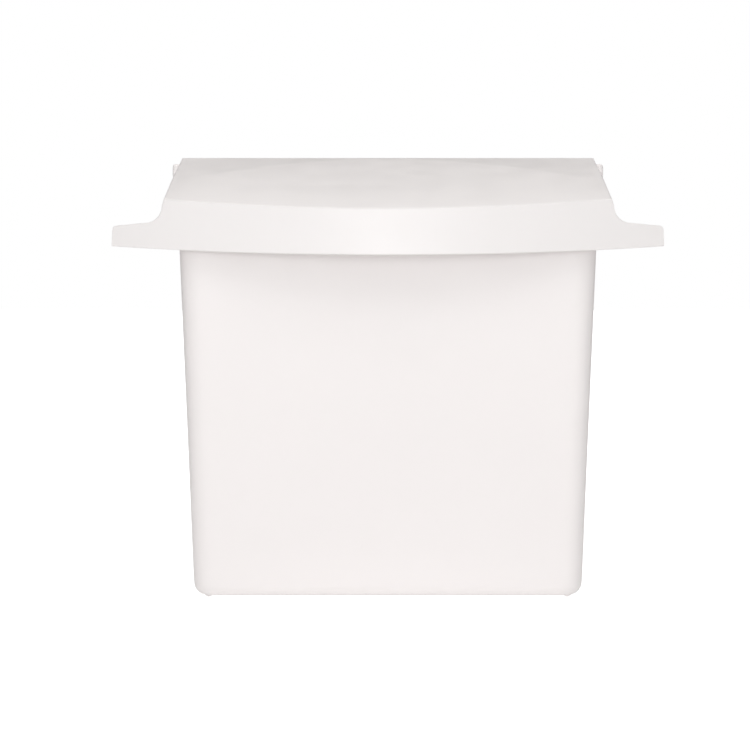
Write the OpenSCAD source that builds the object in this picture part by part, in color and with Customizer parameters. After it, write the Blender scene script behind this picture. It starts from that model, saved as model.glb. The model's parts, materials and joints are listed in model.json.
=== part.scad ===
// Small lidded waste bin for a wall or a shelf, with a lift-out rigid liner.
// X is to the right, Y points back to the wall, Z is up. The origin is at the
// bottom centre of the bounding box, on the surface that the feet stand on.

/* [Overall] */
// Width across the tips of the lid's two lift tabs
overall_w = 330.2; // [324:0.2:336]
// Height from the feet to the lid's back edge
overall_h = 269.2; // [266:0.2:275]
// Depth from the bowed front of the lid to the wall plane
overall_d = 134.6; // [133:0.2:138]

/* [Lid] */
// Width between the lid's parallel sides
lid_w = 264.4; // [263.6:0.2:266]
// Wall thickness of the lid
lid_wall = 2.5; // [2:0.1:3]
// How far the front skirt bows forward of the tab tips
lid_bow = 30; // [26:1:32]
// Height of the skirt's lower edge at the front centre
skirt_front_z = 207.3; // [205:0.1:210]
// Slope of the plane that holds the lid's lower edge, in degrees
skirt_slope = 9.6; // [8:0.1:11]
// Fall of the lid's top surface at its back edge, mm per mm
top_fall = 0.235; // [0.22:0.005:0.25]
// Extra fall of the top surface towards the front, mm per mm squared
top_crown = 0.000287; // [0:0.00001:0.0004]
// Height of a tab's top surface at the lid's side
tab_root_z = 226.1; // [224:0.1:228]
// Height of a tab's top surface at the tip
tab_tip_z = 224.0; // [222:0.1:226]
// Radius between a tab's top surface and the lid's side
tab_fillet = 10.5; // [8:0.5:12]
// Depth of a tab at its tip, front to back
tab_tip_depth = 14; // [10:1:20]
// Depth of a tab where it meets the lid's side, front to back
tab_root_depth = 36; // [30:1:45]

/* [Hinge] */
// Distance from the wall plane forward to the hinge axis
hinge_back = 10.8; // [10.8:0.1:11.2]
// Distance from the lid's back edge down to the hinge axis
hinge_drop = 9.4; // [9:0.1:9.6]
// Radius of the lid's rolled back edge about the hinge axis
roll_r = 10.65; // [10.5:0.05:10.75]
// Radius of a hinge pin
pin_r = 2.5; // [2:0.1:3]
// Radial running clearance of a pin in the lid
pin_clearance = 0.06; // [0.02:0.01:0.1]
// Outer radius of a hinge ear on the bin
ear_r = 5.2; // [4.8:0.1:5.6]
// Thickness of a hinge ear
ear_t = 4.3; // [3:0.1:5]

/* [Bin] */
// Width of the bin at floor level
bin_base_w = 235.6; // [230:0.2:236]
// Outward draft of the bin's two sides, in degrees
side_draft = 1.93; // [1.8:0.01:1.95]
// Distance from the wall plane to the bin's front at floor level
bin_base_d = 104.3; // [100:0.1:106]
// Outward draft of the bin's front, in degrees
front_draft = 2.2; // [1.5:0.1:2.4]
// Wall thickness of the bin's front and sides
bin_wall = 2.5; // [2:0.1:3]
// Thickness of the bin's back panel
back_wall = 3; // [2.6:0.1:3.4]
// Radius of the bin's upright corners
corner_r = 12; // [10:0.5:14]
// Radius around the bin's bottom edge
bottom_r = 7; // [5:0.5:8]
// Height of the four foot pips
foot_h = 1.1; // [0.8:0.1:2.5]
// Radius of a foot pip
foot_r = 2.5; // [2:0.1:4]
// Distance from the bin's sides, front and back in to a foot pip's centre
foot_inset = 9; // [8:0.5:20]

/* [Wall fixing] */
// Radius of the screw holes in the back panel
screw_hole_r = 2.6; // [2:0.1:3]
// Distance between the screw holes across the panel
screw_span_x = 160; // [120:2:180]
// Distance between the screw holes up the panel
screw_span_z = 130; // [100:2:140]
// Height of the lower screw holes
screw_low_z = 60; // [40:1:70]
// Width of an adhesive mounting strip
tape_w = 25; // [15:1:30]
// Length of an adhesive mounting strip
tape_l = 110; // [60:2:130]
// Thickness of an adhesive mounting strip
tape_t = 1; // [0.8:0.1:1.2]

/* [Rigid liner] */
// Height of the liner's rim above the floor
liner_top = 170; // [150:1:176]
// Gap between the liner and the bin's sides and front
liner_gap = 2.6; // [2:0.1:4]
// Gap between the liner and the back panel, for screw heads
liner_back_gap = 4; // [3:0.1:6]
// Wall thickness of the liner
liner_wall = 1.8; // [1.5:0.1:2.4]
// Width of the liner's turned-out rim
rim_w = 2; // [1.5:0.1:2]
// Height of the liner's turned-out rim
rim_h = 5; // [3:0.5:8]

/* [Bail] */
// Radius of the bail's wire
wire_r = 1.5; // [1:0.1:2]
// Distance from the bail's pivots to its crossbar
bail_len = 50; // [48:0.5:52]
// Inside radius of the bail's two bends, to the wire's centre
bail_bend_r = 8; // [5:0.5:12]
// Depth of the bail's pivots below the liner's rim
pivot_drop = 9; // [8:0.5:12]

/* [Hidden] */
$fn = 96;
hull_fn = 32;
eps = 0.01;
half_w = overall_w / 2;
front_y = -overall_d / 2;
wall_y = overall_d / 2;
axis_y = wall_y - hinge_back;
axis_z = overall_h - hinge_drop;
// The lid's back edge lies on the rolled edge's own circle.
lid_back_y = axis_y + sqrt(roll_r * roll_r - hinge_drop * hinge_drop);
top_run = lid_back_y - front_y;
mean_fall = top_fall + top_crown * top_run;
top_wall_z = lid_wall * sqrt(1 + mean_fall * mean_fall);
side_x = lid_w / 2;
bow_r = (half_w * half_w + lid_bow * lid_bow) / (2 * lid_bow);
tip_y = front_y + lid_bow;
roll_low = -40;
cheek_back_y = axis_y + 3.5;
ear_in = side_x + 0.8;
ear_out = ear_in + ear_t;
boss_in = side_x - 8;
boss_r = 5.5;
pin_head_r = 4.4;
pin_head_h = 0.45;
rim_gap = 0.5;
swing_gap = 0.65;
shoulder_low_z = overall_h - 33;
shoulder_top_z = axis_z - 8.4;
floor_t = 2.5;
liner_floor_gap = 0.2;
liner_corner_r = 9;
liner_bottom_r = 5;
liner_z0 = foot_h + floor_t + liner_floor_gap;
liner_back_y = wall_y - back_wall - liner_back_gap;
liner_front_y = wall_y - front_depth(liner_top) + bin_wall + liner_gap;
pivot_y = (liner_front_y + liner_back_y) / 2;
pivot_z = liner_top - pivot_drop;
// The bail lies just clear of the rim's inner edge.
bail_rest_gap = 1;
rest_rise = liner_top + wire_r + bail_rest_gap - pivot_z;
rest_angle = asin(rest_rise / bail_len);
bail_x = floor(10 * (liner_half_w(pivot_z) - liner_wall - wire_r - 1.2)) / 10;
end_bend_r = 3;

function bin_half_w(z) = bin_base_w / 2 + z * tan(side_draft);
function front_depth(z) = bin_base_d + z * tan(front_draft);
function liner_half_w(z) = bin_half_w(z) - bin_wall - liner_gap - rim_w;
function top_z(y) = overall_h - top_fall * (lid_back_y - y)
                    - top_crown * pow(lid_back_y - y, 2);
function skirt_z(y) = skirt_front_z + (y - front_y) * tan(skirt_slope);
function arc(cx, cy, r, from, to, steps) =
    [for (k = [0:steps]) let (a = from + (to - from) * k / steps)
        [cx + r * cos(a), cy + r * sin(a)]];

// A flat outline in Y and Z, made into a slab that spans X from x0 to x1.
module across(x0, x1) {
    translate([x0, 0, 0])
        rotate([90, 0, 90])
            linear_extrude(x1 - x0) children();
}

// A cylinder along X.
module rod(x0, x1, r, y, z) {
    translate([x0, y, z])
        rotate([0, 90, 0]) cylinder(h = x1 - x0, r = r);
}

module both_sides() {
    children();
    mirror([1, 0, 0]) children();
}

// One disc with a rounded lower edge, a bottom corner of a moulded tub.
module corner_foot(r, edge_r) {
    rotate_extrude($fn = hull_fn)
        polygon(concat([[0, 0]], arc(r - edge_r, edge_r, edge_r, 270, 360, 8),
                       [[0, edge_r]]));
}

// A drafted tub: hw gives its half widths and yf its front at z0 and z1.
module tub(hw, yf, yb, z0, z1, r, edge_r) {
    hull() {
        for (side = [-1, 1]) {
            for (y = [yf[0] + r, yb - r])
                translate([side * (hw[0] - r), y, z0]) corner_foot(r, edge_r);
            for (y = [yf[1] + r, yb - r])
                translate([side * (hw[1] - r), y, z1 - 1])
                    cylinder(h = 1, r = r, $fn = hull_fn);
        }
    }
}

// The bin's solid shape, inset by t on the front and sides.
module bin_shape(t, t_back, z0, z1, edge_r) {
    tub([bin_half_w(z0) - t, bin_half_w(z1) - t],
        [wall_y - front_depth(z0) + t, wall_y - front_depth(z1) + t],
        wall_y - t_back, z0, z1, corner_r - t, edge_r);
}

// Everything above the sloping rim, and the room that the lid's rolled edge
// sweeps as it opens.
module above_rim() {
    rim_back_z = overall_h - top_wall_z - rim_gap;
    far = 2 * overall_d;
    across(-half_w, half_w)
        polygon([[lid_back_y - far, rim_back_z - mean_fall * far],
                 [lid_back_y + far, rim_back_z + mean_fall * far],
                 [lid_back_y - far, 2 * overall_h]]);
    rod(-side_x - swing_gap, side_x + swing_gap, roll_r + swing_gap, axis_y, axis_z);
    translate([-side_x - swing_gap, axis_y - roll_r - swing_gap, axis_z])
        cube([lid_w + 2 * swing_gap, overall_d, overall_h]);
}

// One hinge ear, with the shoulder that joins it to the back panel.
module hinge_ear() {
    foot_y = wall_y - back_wall - 3;
    difference() {
        union() {
            rod(ear_in, ear_out, ear_r, axis_y, axis_z);
            across(ear_in, ear_out)
                polygon([[axis_y, axis_z + ear_r], [wall_y - 2, axis_z + ear_r],
                         [wall_y, axis_z + ear_r - 2], [wall_y, shoulder_low_z],
                         [foot_y, shoulder_low_z],
                         [axis_y - ear_r * cos(20), axis_z - ear_r * sin(20)]]);
            translate([bin_half_w(shoulder_low_z) - corner_r - 4,
                       wall_y - back_wall, shoulder_low_z])
                cube([ear_out - bin_half_w(shoulder_low_z) + corner_r + 4,
                      back_wall, shoulder_top_z - shoulder_low_z]);
        }
        rod(ear_in - 1, ear_out + 1, pin_r - 0.04, axis_y, axis_z);
    }
}

module tape_strip(side, depth) {
    translate([side * screw_span_x / 4 - tape_w / 2, wall_y - depth,
               screw_low_z + (screw_span_z - tape_l) / 2])
        cube([tape_w, depth + (depth > tape_t ? 1 : 0), tape_l]);
}

module bin_body() {
    color([0.95, 0.93, 0.92]) {
        difference() {
            bin_shape(0, 0, foot_h, overall_h + 12, bottom_r);
            bin_shape(bin_wall, back_wall, foot_h + floor_t, overall_h + 13, bottom_r - bin_wall);
            above_rim();
            for (side = [-1, 1]) {
                for (z = [screw_low_z, screw_low_z + screw_span_z])
                    translate([side * screw_span_x / 2, wall_y + 1, z])
                        rotate([90, 0, 0]) cylinder(h = back_wall + 2, r = screw_hole_r);
                tape_strip(side, tape_t + eps);
            }
        }
        both_sides() hinge_ear();
        both_sides()
            for (y = [wall_y - front_depth(0) + foot_inset, wall_y - foot_inset])
                translate([bin_half_w(0) - foot_inset, y, 0])
                    cylinder(h = foot_h + 1, r = foot_r);
    }
}

// Plan of the lid, inset by i: a bowed front, two tabs and a parallel body.
module lid_plan(i) {
    intersection() {
        translate([0, front_y + bow_r]) circle(r = bow_r - i, $fn = 360);
        union() {
            translate([-side_x + i, front_y - 1])
                square([lid_w - 2 * i, overall_d + 2]);
            both_sides()
                polygon([[0, front_y - 1], [half_w - i, front_y - 1],
                         [half_w - i, tip_y + tab_tip_depth - 3 - i],
                         [half_w - i - 3, tip_y + tab_tip_depth - i],
                         [side_x + 8, tip_y + tab_root_depth - 15 - i],
                         [side_x, tip_y + tab_root_depth - 12 - i],
                         [0, tip_y + tab_root_depth - 12 - i]]);
        }
    }
}

// Front outline of the lid, inset by i: steep sides that flare into the tabs.
module lid_bell(i) {
    tip_r = 2.3;
    both_sides()
        polygon(concat(
            [[0, skirt_front_z - 30], [half_w - i, skirt_front_z - 30]],
            arc(half_w - tip_r - i, tab_tip_z - tip_r - i, tip_r, 0, 86, 6),
            arc(side_x + tab_fillet, tab_root_z + tab_fillet, tab_fillet + i, 270, 180, 16),
            [[side_x - i, overall_h + 5], [0, overall_h + 5]]));
}

// Side outline of the lid: a sloping top, and a back edge rolled about the hinge.
module lid_side_outer() {
    start = front_y - 1;
    polygon(concat(
        [[start, skirt_z(start)], [cheek_back_y, skirt_z(cheek_back_y)],
         [cheek_back_y, axis_z + 3.5 * tan(roll_low)]],
        arc(axis_y, axis_z, roll_r, roll_low, acos((lid_back_y - axis_y) / roll_r), 24),
        [for (k = [1:16]) let (y = lid_back_y + (start - lid_back_y) * k / 16) [y, top_z(y)]]));
}

// Side outline of the space under the lid, open at the bottom and the back.
module lid_side_inner() {
    start = front_y - 1;
    roll_in = roll_r - lid_wall;
    inner_back_y = axis_y + roll_in * cos(56);
    polygon(concat(
        [[start, skirt_front_z - 30], [wall_y + 10, skirt_front_z - 30],
         [wall_y + 10, axis_z - 20]],
        arc(axis_y, axis_z, roll_in, -60, 56, 24),
        [for (k = [1:16]) let (y = inner_back_y + (start - inner_back_y) * k / 16)
            [y, top_z(y) - top_wall_z]]));
}

module lid() {
    color([0.97, 0.95, 0.94])
        difference() {
            union() {
                difference() {
                    intersection() {
                        translate([0, 0, skirt_front_z - 20]) linear_extrude(90) lid_plan(0);
                        rotate([90, 0, 0])
                            linear_extrude(2 * overall_d, center = true) lid_bell(0);
                        across(-half_w - 1, half_w + 1) lid_side_outer();
                    }
                    intersection() {
                        translate([0, 0, skirt_front_z - 25]) linear_extrude(100) lid_plan(lid_wall);
                        rotate([90, 0, 0])
                            linear_extrude(2 * overall_d + 4, center = true) lid_bell(lid_wall);
                        across(-half_w - 1, half_w + 1) lid_side_inner();
                    }
                }
                both_sides() rod(boss_in, side_x - 1, boss_r, axis_y, axis_z);
            }
            both_sides() rod(boss_in - 1, side_x + 1, pin_r + pin_clearance, axis_y, axis_z);
        }
}

// A hinge pin on the right: a plain shank and a low domed head outside the ear.
module hinge_pin() {
    shank_l = ear_out - boss_in - 0.5;
    dome_r = (pin_head_r * pin_head_r + pin_head_h * pin_head_h) / (2 * pin_head_h);
    dome_angle = asin(pin_head_r / dome_r);
    color([0.93, 0.91, 0.9])
        translate([boss_in + 0.5, axis_y, axis_z])
            rotate([0, 90, 0])
                rotate_extrude()
                    polygon(concat(
                        [[0, 0], [pin_r, 0], [pin_r, shank_l]],
                        arc(0, shank_l + pin_head_h - dome_r, dome_r, 90 - dome_angle, 90, 6)));
}

module hinge_pin_left() {
    mirror([1, 0, 0]) hinge_pin();
}

module hinge_pin_right() {
    hinge_pin();
}

module liner_shape(t, z0, edge_r) {
    z1 = liner_top + (t > 0 ? 1 : 0);
    front_in = bin_wall + liner_gap + rim_w + t;
    tub([liner_half_w(z0) - t, liner_half_w(z1) - t],
        [wall_y - front_depth(z0) + front_in, wall_y - front_depth(z1) + front_in],
        liner_back_y - rim_w - t, z0, z1, liner_corner_r - t, edge_r);
}

// A slab with round corners, grown by g beyond the liner's mouth.
module liner_slab(g, z, h) {
    r = liner_corner_r + g;
    hw = liner_half_w(liner_top) + g;
    y0 = liner_front_y + rim_w - g;
    y1 = liner_back_y - rim_w + g;
    translate([-hw + r, y0, z]) cube([2 * (hw - r), y1 - y0, h]);
    translate([-hw, y0 + r, z]) cube([2 * hw, y1 - y0 - 2 * r, h]);
    for (x = [-hw + r, hw - r])
        for (y = [y0 + r, y1 - r])
            translate([x, y, z]) cylinder(h = h, r = r);
}

module rigid_liner() {
    color([0.72, 0.75, 0.77])
        difference() {
            union() {
                liner_shape(0, liner_z0, liner_bottom_r);
                difference() {
                    liner_slab(rim_w, liner_top - rim_h, rim_h);
                    liner_slab(rim_w - 1.2, liner_top - rim_h - 1, rim_h - 0.8);
                }
            }
            liner_shape(liner_wall, liner_z0 + liner_wall, liner_bottom_r - liner_wall);
            both_sides()
                rod(bail_x + wire_r, bin_half_w(pivot_z), wire_r + 0.08, pivot_y, pivot_z);
        }
}

// A quarter bend of the bail's wire in the XZ plane, from angle start on.
module wire_bend(x, z, r, start) {
    translate([x, 0, z])
        rotate([90, 0, 0])
            rotate([0, 0, start])
                rotate_extrude(angle = 90) translate([r, 0]) circle(r = wire_r);
}

// The bail as it stands upright on its pivots: crossbar, bends, arms, ends.
module upright_bail() {
    end_out = liner_half_w(pivot_z) + rim_w - 0.2;
    rod(-bail_x + bail_bend_r, bail_x - bail_bend_r, wire_r, 0, bail_len);
    both_sides() {
        wire_bend(bail_x - bail_bend_r, bail_len - bail_bend_r, bail_bend_r, 0);
        translate([bail_x, 0, end_bend_r])
            cylinder(h = bail_len - bail_bend_r - end_bend_r, r = wire_r);
        wire_bend(bail_x + end_bend_r, end_bend_r, end_bend_r, 180);
        rod(bail_x + end_bend_r, end_out, wire_r, 0, 0);
    }
}

module liner_bail() {
    color([0.7, 0.71, 0.73])
        translate([0, pivot_y, pivot_z])
            rotate([90 - rest_angle, 0, 0]) upright_bail();
}

module mounting_tape_left() {
    color([0.85, 0.85, 0.83]) tape_strip(-1, tape_t);
}

module mounting_tape_right() {
    color([0.85, 0.85, 0.83]) tape_strip(1, tape_t);
}

bin_body();
lid();
hinge_pin_left();
hinge_pin_right();
rigid_liner();
liner_bail();
mounting_tape_left();
mounting_tape_right();
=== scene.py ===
"""A narrow lidded waste bin in warm white moulded plastic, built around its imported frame.

Lengths are in millimetres until a mesh is made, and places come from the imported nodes' boxes
and joints. Shells are quad patches that meet in shared edges and are rounded by subdivision.
"""

import json
import math

import bmesh
import bpy
import numpy as np
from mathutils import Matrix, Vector


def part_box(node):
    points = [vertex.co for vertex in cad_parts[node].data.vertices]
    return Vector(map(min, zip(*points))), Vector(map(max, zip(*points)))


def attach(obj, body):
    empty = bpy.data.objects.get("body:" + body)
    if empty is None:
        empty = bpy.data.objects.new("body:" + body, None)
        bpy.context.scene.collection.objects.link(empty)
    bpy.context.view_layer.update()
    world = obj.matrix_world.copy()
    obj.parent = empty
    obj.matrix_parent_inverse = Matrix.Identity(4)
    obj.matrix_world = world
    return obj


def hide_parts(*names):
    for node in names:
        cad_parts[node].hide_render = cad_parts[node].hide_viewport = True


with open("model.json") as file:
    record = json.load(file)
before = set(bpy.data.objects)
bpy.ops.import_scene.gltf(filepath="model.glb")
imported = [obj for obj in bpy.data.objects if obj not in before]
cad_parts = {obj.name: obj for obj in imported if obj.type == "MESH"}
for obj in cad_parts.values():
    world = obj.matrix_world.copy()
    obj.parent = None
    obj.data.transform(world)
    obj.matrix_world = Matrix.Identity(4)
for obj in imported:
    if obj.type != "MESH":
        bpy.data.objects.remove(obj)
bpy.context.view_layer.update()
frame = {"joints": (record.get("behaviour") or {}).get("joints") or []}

MM = 0.001
SUBDIVISION = 2

# Patches join where their points are this close, and shorter edges than SLIVER go.
SEAM = 0.02
SLIVER = 0.001

# How far a cutting tool runs past the face that it opens.
PAST = 1.0

# ---------------------------------------------------------------- places from the frame


def node_box(node):
    """A node's lowest and highest corners in millimetres."""
    low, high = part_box(node)
    return np.array(low) / MM, np.array(high) / MM


def joint_at(name):
    """Y and Z of a hinge's axis in millimetres."""
    joint = next(j for j in frame["joints"] if j["name"] == name)
    return joint["pos_m"][1] / MM, joint["pos_m"][2] / MM


lid_low, lid_high = node_box("lid")
body_high = node_box("bin_body")[1]
liner_low, liner_high = node_box("rigid_liner")
pin_high = node_box("hinge_pin_right")[1]
bail_high = node_box("liner_bail")[1]
AXIS_Y, AXIS_Z = joint_at("lid_hinge")
BAIL_Y, BAIL_Z = joint_at("bail_swing")

WALL_Y = float(body_high[1])
FRONT_Y = float(lid_low[1])
TOP_Z = float(lid_high[2])
HALF_W = float(lid_high[0])
HALF_PINS = float(pin_high[0])

# ---------------------------------------------------------------- the lid's sizes

LID_SIDE_X = 132.2
LID_WALL = 2.5
LID_BOW = 30.0
SKIRT_FRONT_Z = float(lid_low[2])
SKIRT_RISE = math.tan(math.radians(9.6))
SKIRT_DRAFT = 0.03
SKIRT_DROP = 27.0
TOP_FALL = 0.235
TOP_CROWN = 0.000287

# The sides flare towards the front, more at the belt line than at the top.
LID_FLARE = 0.5
BELT_FLARE = 1.2
FLARE_BACK_Y = 48.0
FLARE_FRONT_Y = -7.0

# The tabs leave the belt line through a fillet and end in a round corner.
TAB_ROOT_Z = 226.3
TAB_TIP_Z = 224.5
TAB_FILLET = 10.2
TAB_TIP_DEPTH = 14.0
TIP_R = 2.4
TIP_LEAN = 0.5
TAB_BACK_Y = -12.0

# The back edge is rolled about the hinge, down to this angle.
ROLL_R = 10.65
ROLL_LOW = -40.0
CHEEK_BACK_Y = AXIS_Y + 3.5

# A faint arc line crosses the top. These say where it lies, how much flatter the top is
# behind it, and how gently the two slopes meet, at the middle and at the sides.
LENS_APEX = 4.5
LENS_SPREAD = 0.0054
LENS_EASE = 1.15e-7
LENS_SLOPE = 0.055
LENS_SOFT = 0.9
LENS_SOFT_SIDE = 5.9

# Rows close to an edge hold its radius as the patches are subdivided.
EDGE = 1.1
HEM_EDGE = 0.7
SIDE_TOP_EDGE = EDGE * 0.8
BELT_EDGE = 0.3
ROLL_TOP_EDGE = 0.7
ROLL_END_EDGE = 1.2
SIDE_ROWS = 8
BEND_STEPS = 10
FRONT_ROWS = 11
MIDDLE_COLS = 12
TOP_FRONT_ROWS = 7
TAB_FLAT_STEPS = 5
TIP_STEPS = 4
BLOCK_W = 13.0

# Distances across the block of its inner rows, between the two that hold its edges.
# Longer and shorter columns scale them.
DOWN_ROWS = (3.6, 6.4, 9.6)

# How far the row after the tab's back edge lies from it, as a share of the top's front part.
TAB_NEXT_ROW = 0.04

# How close the rows along a tab's top come to its fillet and to its round corner.
TAB_NEAR = 3.0
TIP_NEAR = 1.5

# Passes that settle a height and a place which depend on each other.
CREASE_PASSES = 12
HEM_PASSES = 6
RIM_PASSES = 5

LID_BACK_Y = AXIS_Y + math.sqrt(ROLL_R**2 - (TOP_Z - AXIS_Z) ** 2)
SIDE_FRONT_X = LID_SIDE_X + LID_FLARE
FILLET_X = SIDE_FRONT_X + BELT_FLARE + TAB_FILLET
FILLET_Z = TAB_ROOT_Z + TAB_FILLET
BOW_R = (HALF_W**2 + LID_BOW**2) / (2 * LID_BOW)

# ---------------------------------------------------------------- the bin's sizes

BIN_HALF_W = 117.8
SIDE_DRAFT = math.tan(math.radians(1.93))
BIN_DEPTH = 104.3
FRONT_DRAFT = math.tan(math.radians(2.2))
BIN_WALL = 2.5
BACK_WALL = 3.0
BIN_FLOOR_Z = 1.1
FLOOR_T = 2.5
CORNER_R = 12.0
BOTTOM_R = 7.0
SWING_GAP = 0.65
RIM_GAP = 0.5
RIM_EDGE = 0.7
RIM_BACK_EDGE = 0.8
RIM_HOLD = 0.9
SHOULDER_LOW_Z = TOP_Z - 33
SHOULDER_IN_X = BIN_HALF_W + SHOULDER_LOW_Z * SIDE_DRAFT - CORNER_R - 4
SHOULDER_TOP_Z = AXIS_Z - 8.4
EAR_IN_X = LID_SIDE_X + 0.8
EAR_OUT_X = float(body_high[0])
EAR_R = 5.2
EAR_CORNER_R = 2.0
EAR_FOOT_Y = WALL_Y - BACK_WALL - 3
EAR_EDGE = 1.3
SHOULDER_OUT_X = EAR_OUT_X - 0.6
SHOULDER_EDGE = 0.5
BOSS_IN_X = 124.2
BOSS_OUT_X = LID_SIDE_X - 1
BOSS_R = 5.5
PIN_R = 2.5
PIN_CLEARANCE = 0.06
PIN_PRESS_GAP = 0.02
PIN_END_X = BOSS_IN_X + 0.5
PIN_CHAMFER = 0.4
PIN_HEAD_R = 4.4

# The pins' heads stand this share of the way out to their node's end.
HEAD_SHARE = 0.5
FOOT_R = 2.5
FOOT_INSET = 9.0
FOOT_ROOT = 1.0
SCREW_R = 2.6
SCREW_X = 80.0
SCREW_ZS = (60.0, 190.0)
TAPE_X = SCREW_X / 2
TAPE_W = 25.0
TAPE_T = 1.0
TAPE_CORNER_R = 2.5
TAPE_ZS = (70.0, 180.0)
FILM_T = 0.2
FILM_LAP = 0.4

# Keeps faces that would lie in one plane a hair apart.
SKIM = 0.01

# The rim is a plane under the lid's top, scooped out below its rolled edge.
MEAN_FALL = TOP_FALL + TOP_CROWN * (LID_BACK_Y - FRONT_Y)
RIM_BACK_Z = TOP_Z - LID_WALL * math.hypot(1, MEAN_FALL) - RIM_GAP
SWING_R = ROLL_R + SWING_GAP

# ---------------------------------------------------------------- the liner's sizes

LINER_TOP = float(liner_high[2])
LINER_LOW = float(liner_low[2])
LINER_GAP = 2.6
LINER_BACK_Y = WALL_Y - BACK_WALL - 4.0
LINER_WALL = 1.8
LINER_CORNER_R = 9.0
LINER_BOTTOM_R = 5.0
RIM_W = 2.0
RIM_H = 5.0
LIP_T = 1.2
LIP_TOP_T = 1.8
LIP_UNDER_EDGE = 0.6
LIP_FOOT_EDGE = 0.5
LIP_FOOT_FLAT = 0.4
LIP_OUT_EDGE = 0.8
LIP_IN_EDGE = 0.7
LINER_SIDE_YS = (40.0,)

# ---------------------------------------------------------------- the bail's sizes

WIRE_R = 1.5
WIRE_CLEARANCE = 0.08
WIRE_END_R = 0.5
WIRE_STEPS = 20
BAIL_LEN = 50.0
BAIL_X = 111.6
BAIL_BEND_R = 8.0
END_BEND_R = 3.0
END_OUT_X = float(bail_high[0])
BAIL_REST_GAP = 1.0
BAIL_REST = math.asin((LINER_TOP + WIRE_R + BAIL_REST_GAP - BAIL_Z) / BAIL_LEN)

# ---------------------------------------------------------------- mesh tools


class Skin:
    """Quad patches in millimetres, joined where their edges meet."""

    def __init__(self):
        self.points = []
        self.faces = []

    def patch(self, grid):
        """Adds a grid of points, an array of rows by columns by 3, as quads."""
        grid = np.asarray(grid, dtype=float)
        rows, cols = grid.shape[:2]
        base = len(self.points)
        self.points.extend(map(tuple, grid.reshape(-1, 3)))
        for r in range(rows - 1):
            for c in range(cols - 1):
                a = base + r * cols + c
                self.faces.append((a, a + 1, a + cols + 1, a + cols))

    def cap(self, ring):
        """Closes a ring of points with one flat face."""
        base = len(self.points)
        self.points.extend(tuple(p) for p in ring)
        self.faces.append(tuple(range(base, base + len(ring))))

    def build(self, name, mirror=False):
        """Makes the object, mirrored in X if asked, with every seam joined."""
        bm = bmesh.new()
        verts = [bm.verts.new([v * MM for v in p]) for p in self.points]
        for face in self.faces:
            bm.faces.new([verts[i] for i in face])
        if mirror:
            half = bm.verts[:] + bm.edges[:] + bm.faces[:]
            copy = bmesh.ops.duplicate(bm, geom=half)["geom"]
            new_verts = [g for g in copy if isinstance(g, bmesh.types.BMVert)]
            for v in new_verts:
                v.co.x = -v.co.x
        bmesh.ops.remove_doubles(bm, verts=bm.verts[:], dist=SEAM * MM)
        bmesh.ops.dissolve_degenerate(bm, dist=SLIVER * MM, edges=bm.edges[:])
        bmesh.ops.recalc_face_normals(bm, faces=bm.faces[:])
        return finished(bm, name)


def finished(bm, name):
    """Turns a bmesh into an object that is shaded smooth."""
    mesh = bpy.data.meshes.new(name)
    for face in bm.faces:
        face.smooth = True
    bm.to_mesh(mesh)
    bm.free()
    obj = bpy.data.objects.new(name, mesh)
    bpy.context.scene.collection.objects.link(obj)
    return obj


def applied(obj):
    """Applies every modifier on an object."""
    graph = bpy.context.evaluated_depsgraph_get()
    mesh = bpy.data.meshes.new_from_object(obj.evaluated_get(graph))
    obj.modifiers.clear()
    old = obj.data
    obj.data = mesh
    bpy.data.meshes.remove(old)
    return obj


def subdivided(obj, levels=SUBDIVISION):
    """Rounds an object's patches by Catmull-Clark subdivision."""
    mod = obj.modifiers.new("round", "SUBSURF")
    mod.levels = levels
    mod.render_levels = levels
    return applied(obj)


def cut(obj, tool, operation="DIFFERENCE"):
    """Cuts or joins a tool object into obj, and removes the tool."""
    mod = obj.modifiers.new("cut", "BOOLEAN")
    mod.operation = operation
    mod.solver = "EXACT"
    mod.object = tool
    applied(obj)
    bpy.data.objects.remove(tool)
    return obj


def sharpened(obj, degrees=38):
    """Shades smooth, with a crease where faces meet at more than this angle."""
    for face in obj.data.polygons:
        face.use_smooth = True
    obj.data.set_sharp_from_angle(angle=math.radians(degrees))
    return obj


def prism(name, outline, x0, x1, bevel=0.0):
    """A Y-Z outline made solid from x0 to x1, with its edges rounded."""
    bm = bmesh.new()
    ends = []
    for x in (x0, x1):
        ends.append([bm.verts.new((x * MM, y * MM, z * MM)) for y, z in outline])
    bm.faces.new(ends[0])
    bm.faces.new(ends[1][::-1])
    count = len(outline)
    for k in range(count):
        n = (k + 1) % count
        bm.faces.new((ends[0][k], ends[1][k], ends[1][n], ends[0][n]))
    bmesh.ops.recalc_face_normals(bm, faces=bm.faces[:])
    obj = finished(bm, name)
    if bevel:
        mod = obj.modifiers.new("bevel", "BEVEL")
        mod.width = bevel * MM
        mod.segments = 4
        mod.limit_method = "ANGLE"
        mod.angle_limit = math.radians(30)
        applied(obj)
    return obj


def bridge(bm, rings):
    """Joins rings of vertices with quads, and returns each band's faces."""
    bands = []
    for low, high in zip(rings, rings[1:]):
        band = []
        for k in range(len(low)):
            n = (k + 1) % len(low)
            band.append(bm.faces.new((low[k], low[n], high[n], high[k])))
        bands.append(band)
    return bands


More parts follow.
